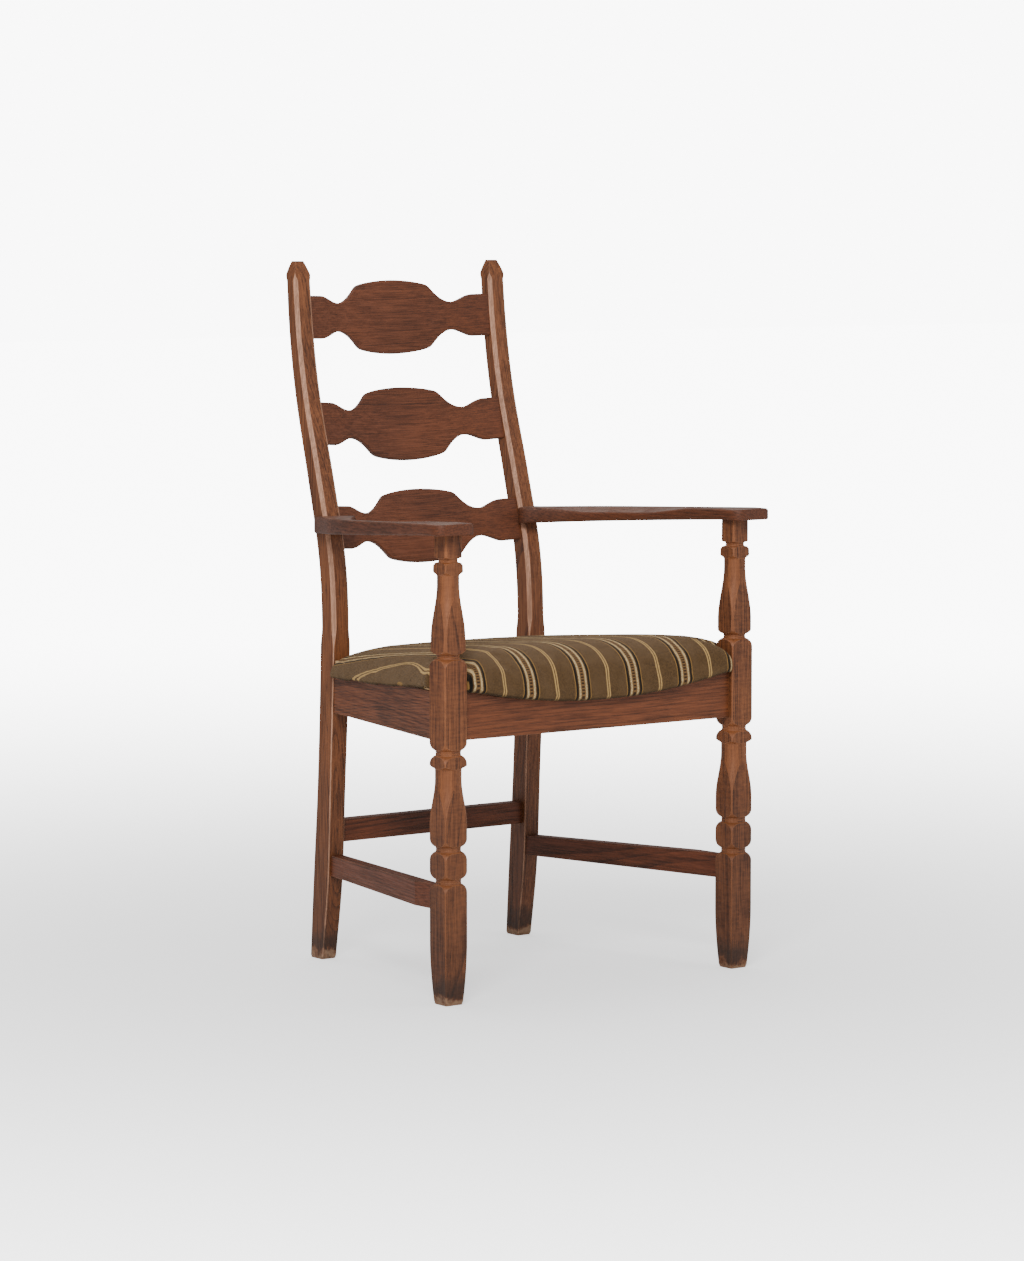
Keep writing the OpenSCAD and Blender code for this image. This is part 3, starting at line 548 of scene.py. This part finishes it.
def slat_section(half, x, bow, slant, y, z):
    """The slat's rounded section at one place across the back."""
    inner = [(SLAT_T / 2 - SLAT_ROUND, half - SLAT_ROUND), (-SLAT_T / 2 + SLAT_ROUND, half - SLAT_ROUND),
             (-SLAT_T / 2 + SLAT_ROUND, -half + SLAT_ROUND), (SLAT_T / 2 - SLAT_ROUND, -half + SLAT_ROUND)]
    ring = []
    for q, (py, pz) in enumerate(inner):
        for k in range(5):
            a = math.radians(90 * q + 22.5 * k)
            v, w = py + SLAT_ROUND * math.cos(a) + bow, pz + SLAT_ROUND * math.sin(a)
            ring.append((x, y + v * math.cos(slant) + w * math.sin(slant),
                         z - v * math.sin(slant) + w * math.cos(slant)))
    return ring


def build_slats(material):
    half_gap = post_x(GAP_Z) - curve(POST, GAP_Z, 3) / 2
    r = (half_gap**2 + SLAT_BOW**2) / (2 * SLAT_BOW)
    for name, z in SLATS:
        slant = 0.9 * math.atan((post_y(z + 25) - post_y(z - 25)) / 50)
        rings = []
        for x in spread(-half_gap - 6, half_gap + 6, 1.5):
            bow = SLAT_BOW - (r - math.sqrt(r * r - x * x))
            rings.append(slat_section(slat_edge(x), x, bow, slant, post_y(z) - 3, z))
        slat = loft("oak_" + name, rings, material, sharp=40)
        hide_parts(name)


# ------------------------------------------------------------------- arms

ARM = [
    (-38, 310, 240), (0, 308, 241), (60, 300, 244), (130, 290, 245), (200, 280, 241),
    (270, 268, 231), (330, 250, 207), (370, 232, 177), (395, 221, 157), (415, 213, 168),
    (434, 206, 190),
]
ARM_NOSE, ARM_CORNER, ARM_DISH = 38, 18, 8
ARM_LOW, ARM_HIGH, FALL_LOW, FALL_HIGH = 683.3, 700, 0.061, 0.040
ARM_TOP_R, ARM_LOW_R = 4.5, 2.5
ARM_JOINT_Z, ARM_END = 680, 434  # height where an arm meets its post, depth of its rear end


def arm_ring(y, ease=0.0, inner_stop=None):
    """The left arm's rounded section at depth y; inner_stop ends it at the post's middle."""
    u = ARM_CORNER - (y + ARM_NOSE)
    corner = 0 if u <= 0 else ARM_CORNER - math.sqrt(max(0, ARM_CORNER**2 - u * u))
    o = -curve(ARM, y, 1) + corner
    i = -curve(ARM, y, 2) - corner
    if inner_stop is not None:
        i = inner_stop
    b = ARM_LOW - FALL_LOW * max(0, y) + ease
    t = ARM_HIGH - FALL_HIGH * max(0, y) - ease
    dish = ARM_DISH * smooth((y - 70) / 130) * (1 - smooth((y - 300) / 90))
    ring = []

    def arc(cx, cz, r, start):
        for k in range(5):
            a = math.radians(start + 22.5 * k)
            ring.append((cx + r * math.cos(a), y, cz + r * math.sin(a)))

    top_r = min(ARM_TOP_R, (t - b) / 2.2, (i - o) / 2.2)
    low_r = min(ARM_LOW_R, (t - b) / 2.4, (i - o) / 2.4)
    arc(i - low_r, b + low_r, low_r, -90)
    arc(i - top_r, t - dish - top_r, top_r, 0)
    for k in range(1, 6):
        s = k / 6
        x = i - top_r + (o - i + 2 * top_r) * s
        ring.append((x, y, t - dish * (1 - smooth(s * 1.15)) + 0.5 * math.sin(math.pi * s)))
    arc(o + top_r, t - top_r, top_r, 90)
    arc(o + low_r, b + low_r, low_r, 180)
    return ring


def build_arms(material):
    front = -ARM_NOSE
    face = post_y(ARM_JOINT_Z) - curve(POST, ARM_JOINT_Z, 2) / 2
    inner = -post_x(ARM_JOINT_Z)
    rings = [arm_ring(front + 3 * (1 - math.cos(a)), 3 * (1 - math.sin(a)))
             for a in spread(0.0, math.pi / 2, math.pi / 12)]
    rings += [arm_ring(y) for y in spread(front + 4, front + ARM_CORNER, 1.5)]
    rings += [arm_ring(y) for y in spread(front + ARM_CORNER + 3, face + 2.9, 4)]
    rings += [arm_ring(y, inner_stop=inner) for y in spread(face + 3, ARM_END - 3, 3)]
    rings += [arm_ring(ARM_END, 1.5, inner_stop=inner)]
    for side, shape in (("left", rings), ("right", mirrored(rings))):
        arm = loft("oak_arm_" + side, shape, material, sharp=35)
        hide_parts("armrest_" + side)


# ------------------------------------------------------------------- seat

SEAT_CAP = 5 * MM  # limit on how far the simulated cloth moves a point
CLOTH_STEPS = 16
VOXEL, VOXEL_QUICK = 0.0045, 0.006
SEAT_DIP = 25.4  # fall of the cover's front edge in the middle
DIP_END = 28  # how far inside the front rail's ends that fall begins, mm
SEAT_TOP = 498.5  # height of the seat's middle, and its fall from there to the back edge
SEAT_FALL = 16
SEAT_FRONT, SEAT_NOTCH, SEAT_REAR = -27, 21.5, 421  # depths of its edges, and of the leg's notch
SEAT_CORNER = 388  # depth of its rear corners, in front of the posts
SEAT_HALF = (SEAT_REAR - SEAT_FRONT) / 2
SEAT_GAP = 1.0  # between the cover and the legs or posts
POST_HALF = 16  # half a post's width beside the seat
POST_BESIDE_Z = 470
WRAP, WRAP_DROP = 55, 24  # most cloth used up over a side edge, and how soon as it drops, mm
WRAP_BACK = 60  # how far behind the back edge the wrap over it is measured from, mm
LIP_FRONT, LIP_SIDE = 20, 6  # how far the lower edge reaches in, at the front and elsewhere
DOME_IN, DOME_UP = 0.36, 0.80  # powers that make the dome full, inwards and upwards
BULGE = 2.5  # how far the cover bulges out above its hem, mm
SEAT_MIDDLE = Vector((0, 195))
LEAN = math.radians(12.7)  # angle of the side rails in plan
RAIL_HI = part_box("front_rail")[1]
COVER_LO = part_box("seat_cover")[0]
SIDE_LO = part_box("side_rail_left")[0]


def seat_low(x, y):
    """Height of the cover's lower edge, mm: it dips in front and falls towards the back."""
    high = RAIL_HI.z / MM
    half = RAIL_HI.x / MM - DIP_END
    front = high - SEAT_DIP * (1 - min(1, abs(x) / half) ** 2)
    side = curve([(0, high + 3, 0), (60, high + 2, 0), (200, high - 8, 0), (400, high - 17, 0)],
                 max(y, 0), 1)
    return front + (side - front) * smooth((y + 18) / 30)


def seat_high(y):
    """Height that the padding would reach at depth y if it weren't rounded, mm."""
    return SEAT_TOP - SEAT_FALL * (y - SEAT_MIDDLE.y) / SEAT_HALF


def seat_side(y):
    """Half of the seat's width at depth y, mm: it stands out over the rail, more at the back."""
    over = 8 + 5 * smooth((y - 200) / 150)
    return -SIDE_LO.x / MM + over - (y - SEAT_NOTCH) * math.tan(LEAN)


def seat_plan():
    """Right half of the seat's outline, then the left half, in mm from the leg line."""
    leg_in = -LEG_HI.x / MM - SEAT_GAP
    post_in = post_x(POST_BESIDE_Z) - POST_HALF - SEAT_GAP
    right = [(leg_in, SEAT_FRONT), (leg_in, SEAT_NOTCH), (seat_side(SEAT_NOTCH), SEAT_NOTCH),
             (seat_side(SEAT_CORNER), SEAT_CORNER), (post_in, SEAT_CORNER), (post_in, SEAT_REAR)]
    return right + [(-x, y) for x, y in reversed(right)]


def seat_outline(step=6.0, cut=4.0):
    """The outline as evenly spaced points with rounded corners."""
    plan = seat_plan()
    points = []
    for k, corner in enumerate(plan):
        a, b, c = Vector(plan[k - 1]), Vector(corner), Vector(plan[(k + 1) % len(plan)])
        trim = min(cut, (a - b).length / 3, (c - b).length / 3)
        start, end = b + (a - b).normalized() * trim, b + (c - b).normalized() * trim
        for s in (0, 0.33, 0.67, 1):
            points.append(start * (1 - s) ** 2 + b * 2 * s * (1 - s) + end * s * s)
        after = plan[(k + 2) % len(plan)]
        trim_next = min(cut, (b - c).length / 3, (Vector(after) - c).length / 3)
        stop = c + (b - c).normalized() * trim_next
        count = max(1, round((stop - end).length / step))
        points += [end + (stop - end) * j / count for j in range(1, count)]
    return points


def seat_shell():
    """The padded block before the cloth settles: edge, rounded side and a dome that falls to the back."""
    outline = seat_outline()
    middle = SEAT_MIDDLE
    base = RAIL_HI.z / MM + 1
    rings = []
    for scale, lift in ((0.05, base), (0.5, base), (0.90, base)):
        rings.append([(middle + (p - middle) * scale).to_3d() + Vector((0, 0, lift)) for p in outline])
    # the lip reaches back over the front rail, and elsewhere only a little way in
    inset = [Vector((0, LIP_FRONT)) if p.y < 0 else (middle - p).normalized() * LIP_SIDE
             for p in outline]
    rings.append([(p + d).to_3d() + Vector((0, 0, base)) for p, d in zip(outline, inset)])
    rings.append([(p + d).to_3d() + Vector((0, 0, seat_low(*p) - 1)) for p, d in zip(outline, inset)])
    rings.append([(p + d * 0.12).to_3d() + Vector((0, 0, seat_low(*p) - 0.6))
                  for p, d in zip(outline, inset)])
    for k in range(1, 26):
        a = math.radians(3.4 * k)
        ring = []
        for p in outline:
            low = seat_low(*p)
            out = BULGE * math.sin(min(1, a / 0.9) * math.pi)
            q = middle + (p - middle) * (math.cos(a) ** DOME_IN)
            q -= (middle - p).normalized() * out
            rise = (seat_high(q.y) - low) * math.sin(a) ** DOME_UP
            ring.append(q.to_3d() + Vector((0, 0, low + rise)))
        rings.append(ring)
    mesh = bpy.data.meshes.new("seat")
    bm = bmesh.new()
    rows = [[bm.verts.new((v.x * MM, LEG_Y + v.y * MM, v.z * MM)) for v in ring] for ring in rings]
    count = len(outline)
    for low, high in zip(rows, rows[1:]):
        for j in range(count):
            k = (j + 1) % count
            bm.faces.new((low[j], low[k], high[k], high[j]))
    bm.faces.new(rows[0])
    bm.faces.new(rows[-1])
    bmesh.ops.recalc_face_normals(bm, faces=bm.faces)
    bm.to_mesh(mesh)
    bm.free()
    return mesh


def evaluated_copy(piece):
    graph = bpy.context.evaluated_depsgraph_get()
    graph.update()
    return bpy.data.meshes.new_from_object(piece.evaluated_get(graph))


def settle(piece):
    """Lets the cover swell and pucker as cloth, held along its lower edge."""
    rest = [v.co.copy() for v in piece.data.vertices]
    held = piece.vertex_groups.new(name="held")
    for v in piece.data.vertices:
        low = seat_low(v.co.x / MM, (v.co.y - LEG_Y) / MM)
        height = v.co.z / MM - low
        held.add([v.index], 1 - smooth((height - 2) / 7), "REPLACE")
    cloth = piece.modifiers.new("cloth", "CLOTH")
    cloth.settings.use_pressure = True
    cloth.settings.uniform_pressure_force = 0.3
    cloth.settings.effector_weights.gravity = 0
    cloth.settings.vertex_group_mass = "held"
    cloth.settings.shrink_min = -0.003
    cloth.settings.quality = 5
    scene = bpy.context.scene
    for step in range(1, CLOTH_STEPS + 1):
        scene.frame_set(step)
    mesh = evaluated_copy(piece)
    piece.modifiers.clear()
    old = piece.data
    piece.data = mesh
    bpy.data.meshes.remove(old)
    for v, start in zip(piece.data.vertices, rest):
        move = v.co - start
        if move.length > SEAT_CAP:
            v.co = start + move.normalized() * SEAT_CAP
    scene.frame_set(1)


def lay_stripes(piece):
    """Stores how far across and along the wool each point lies, as the cloth wraps the edges,
    and how far it is above the lower edge."""
    mesh = piece.data
    across = mesh.attributes.new("across", "FLOAT", "POINT")
    along = mesh.attributes.new("along", "FLOAT", "POINT")
    hem = mesh.attributes.new("hem", "FLOAT", "POINT")
    for v in mesh.vertices:
        x, y = v.co.x / MM, (v.co.y - LEG_Y) / MM
        drop = max(0, seat_high(y) - v.co.z / MM)
        beside, behind = max(seat_side(y) - abs(x), 0.5), SEAT_REAR + WRAP_BACK - y
        share = behind**2 / (beside**2 + behind**2) * smooth((y - 30) / 100)
        wrap = WRAP * (1 - math.exp(-drop / WRAP_DROP))
        across.data[v.index].value = x + math.copysign(wrap * share, x)
        along.data[v.index].value = y + math.copysign(drop * (1 - share), y - SEAT_MIDDLE.y)
        hem.data[v.index].value = v.co.z / MM - seat_low(x, y)


def pleat(piece, x, y, z):
    """A small fold at the lower edge, where the cover was turned in beside the leg."""
    at = Vector((x, y, z))
    for v in piece.data.vertices:
        d = (v.co - at)
        near = math.exp(-((d.y / 0.007) ** 2) - (d.z / 0.010) ** 2 - (d.x / 0.02) ** 2)
        v.co.z += 0.005 * near
        v.co.x += 0.002 * near * math.sin(d.y / 0.0025)


def build_seat(material):
    seat = new_object("wool_seat", seat_shell(), material)
    remesh = seat.modifiers.new("remesh", "REMESH")
    remesh.mode = "VOXEL"
    remesh.voxel_size = VOXEL
    mesh = evaluated_copy(seat)
    seat.modifiers.clear()
    seat.data = mesh
    settle(seat)
    pleat(seat, COVER_LO.x + 0.004, LEG_Y + 0.034, RAIL_HI.z + 0.004)
    lay_stripes(seat)
    for face in seat.data.polygons:
        face.use_smooth = True
    soften = seat.modifiers.new("soften", "SMOOTH")
    soften.factor = 0.5
    soften.iterations = 2
    seat.modifiers.new("finer", "SUBSURF").render_levels = 1
    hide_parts("seat_cover", "seat_padding")


# ------------------------------------------------------- camera and lights

BACKDROP = 9.0  # brightness of the backdrop behind the floor
EYE = Vector((-3.8909, LEG_Y - 5.0454, 1.1328))
EYE_DOWN, EYE_RIGHT = 5.41, 36.54  # degrees that the camera looks down and to the right


def build_stage():
    """A pale floor that fades into the backdrop far behind the chair."""
    bpy.ops.mesh.primitive_plane_add(size=60, location=(0, 0, 0))
    floor = bpy.context.object
    floor.name = "floor"
    g = Graph("paper")
    coords = g.coords()
    cloud = g.noise(coords, 3.0, 2.0)
    g.feed(g.shader.inputs["Base Color"],
           g.mix(cloud, (0.88, 0.88, 0.88, 1), (0.91, 0.91, 0.91, 1)))
    g.shader.inputs["Roughness"].default_value = 0.9
    distance = g.node("ShaderNodeVectorMath", {0: coords}, operation="LENGTH").outputs["Value"]
    seen = g.node("ShaderNodeLightPath", {}).outputs["Is Camera Ray"]
    far = g.math("MULTIPLY", g.range(distance, 0.3, 5.5, 0.9, BACKDROP), seen)
    g.shader.inputs["Emission Color"].default_value = (1, 1, 1, 1)
    g.feed(g.shader.inputs["Emission Strength"], far)
    floor.data.materials.append(g.material)


def area_light(name, place, aim, size, power):
    light = bpy.data.lights.new(name, "AREA")
    light.size = size
    light.energy = power
    lamp = bpy.data.objects.new(name, light)
    bpy.context.collection.objects.link(lamp)
    lamp.location = place
    lamp.rotation_euler = (Vector(aim) - Vector(place)).to_track_quat("-Z", "Y").to_euler()


def build_lights():
    area_light("key", (-2.7, -2.9, 3.0), (0, 0, 0.6), 1.4, 150)
    area_light("fill", (2.8, -2.6, 1.6), (0, 0, 0.5), 2.6, 26)
    area_light("top", (0.2, 0.8, 3.2), (0, 0, 0.5), 2.4, 40)
    world = bpy.data.worlds.new("studio")
    world.use_nodes = True
    nodes, links = world.node_tree.nodes, world.node_tree.links
    white = nodes["Background"]
    white.inputs["Color"].default_value = (1, 1, 1, 1)
    rays = nodes.new("ShaderNodeLightPath")
    level = nodes.new("ShaderNodeMapRange")
    level.inputs["To Min"].default_value = 0.45
    level.inputs["To Max"].default_value = BACKDROP
    links.new(rays.outputs["Is Camera Ray"], level.inputs["Value"])
    links.new(level.outputs[0], white.inputs["Strength"])
    bpy.context.scene.world = world


def build_camera():
    camera = bpy.data.cameras.new("camera")
    camera.lens = 123.8
    camera.sensor_width = 36
    camera.clip_end = 60
    eye = bpy.data.objects.new("camera", camera)
    bpy.context.collection.objects.link(eye)
    eye.location = EYE
    eye.rotation_euler = Euler((math.radians(90 - EYE_DOWN), 0, math.radians(-EYE_RIGHT)))
    bpy.context.scene.camera = eye


# ------------------------------------------------------------------ build


def finish_nodes(names, material, bevel=0.0):
    """Gives CAD nodes that stay their material, and boards their eased edges."""
    for name in names:
        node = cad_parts[name]
        node.data.materials.clear()
        node.data.materials.append(material)
        if bevel:
            eased = node.modifiers.new("eased", "BEVEL")
            eased.width = bevel
            eased.segments = 2
            eased.limit_method = "ANGLE"
            eased.angle_limit = math.radians(40)


EASED = 0.0012  # width of the eased edges of rails and stretchers
LIGHT, MID, DARK = rgb(136, 81, 46), rgb(113, 61, 34), rgb(58, 28, 14)

build_camera()
build_stage()
build_lights()
build_legs(oak("oak_leg", LIGHT, DARK, "Z", tilt=(0.012, 0.01), heart=(0.16, 0.12), feet=True,
               contrast=0.5, turned_highlight=0.40, curl=0.14, wear=0.7, round_r=0.0008))
build_posts(oak("oak_post", LIGHT, DARK, "Z", tilt=(0.03, 0.05), heart=(0.10, -0.10), feet=True,
                chamfer_highlight=True))
build_slats(oak("oak_slat", MID, DARK, "X", tilt=(0.02, 0.02), heart=(0.0, 0.0), ring=0.0036,
                contrast=0.55))
build_arms(oak("oak_arm", rgb(104, 56, 32), rgb(48, 25, 14), "Y", tilt=(0.02, 0.03), sheen_and_polish=0.45))
build_seat(wool())
finish_nodes(["front_rail", "rear_rail"],
             oak("oak_rail", rgb(124, 68, 36), rgb(64, 31, 15), "X", tilt=(0.02, 0.03)), EASED)
# painted shade: the rear stretcher's oak is darker than the rails', for the shade low under the seat
finish_nodes(["rear_stretcher"],
             oak("oak_stretcher", rgb(106, 54, 28), rgb(50, 24, 12), "X", tilt=(0.02, 0.03)), EASED)
for side, lean in (("left", LEAN), ("right", -LEAN)):
    rail = oak("oak_rail_" + side, rgb(122, 66, 34), rgb(56, 28, 14), "Y", lean,
               tilt=(0.13, 0.03), contrast=0.85)
    finish_nodes(["side_rail_" + side], rail, EASED)
    # painted shade: the side stretchers' oak is darker than the side rails', for the shade low under the
    # seat
    bar = oak("oak_bar_" + side, rgb(108, 56, 31), rgb(52, 26, 14), "Y", lean, tilt=(0.03, 0.02))
    finish_nodes(["side_stretcher_" + side], bar, EASED)
finish_nodes(["corner_block_front_left", "corner_block_front_right",
              "corner_block_rear_left", "corner_block_rear_right"],
             plain("beech", rgb(196, 158, 116), rgb(168, 126, 86), 30.0, 0.75, stretch=(1, 1, 9)))
finish_nodes(["armrest_plugs"], oak("oak_plug", LIGHT, DARK, "Y"))
finish_nodes(["seat_board"],
             plain("plywood", rgb(206, 172, 128), rgb(182, 142, 98), 12.0, 0.8, stretch=(1, 12, 1)))
finish_nodes(["corner_block_screws", "seat_fixing_screws", "armrest_screws", "cover_staples"],
             plain("zinc", rgb(176, 174, 168), rgb(140, 138, 134), 200.0, 0.45, 1.0))
finish_nodes(["dust_cloth"], plain("black_cloth", rgb(34, 32, 30), rgb(22, 20, 19), 900.0, 0.95))
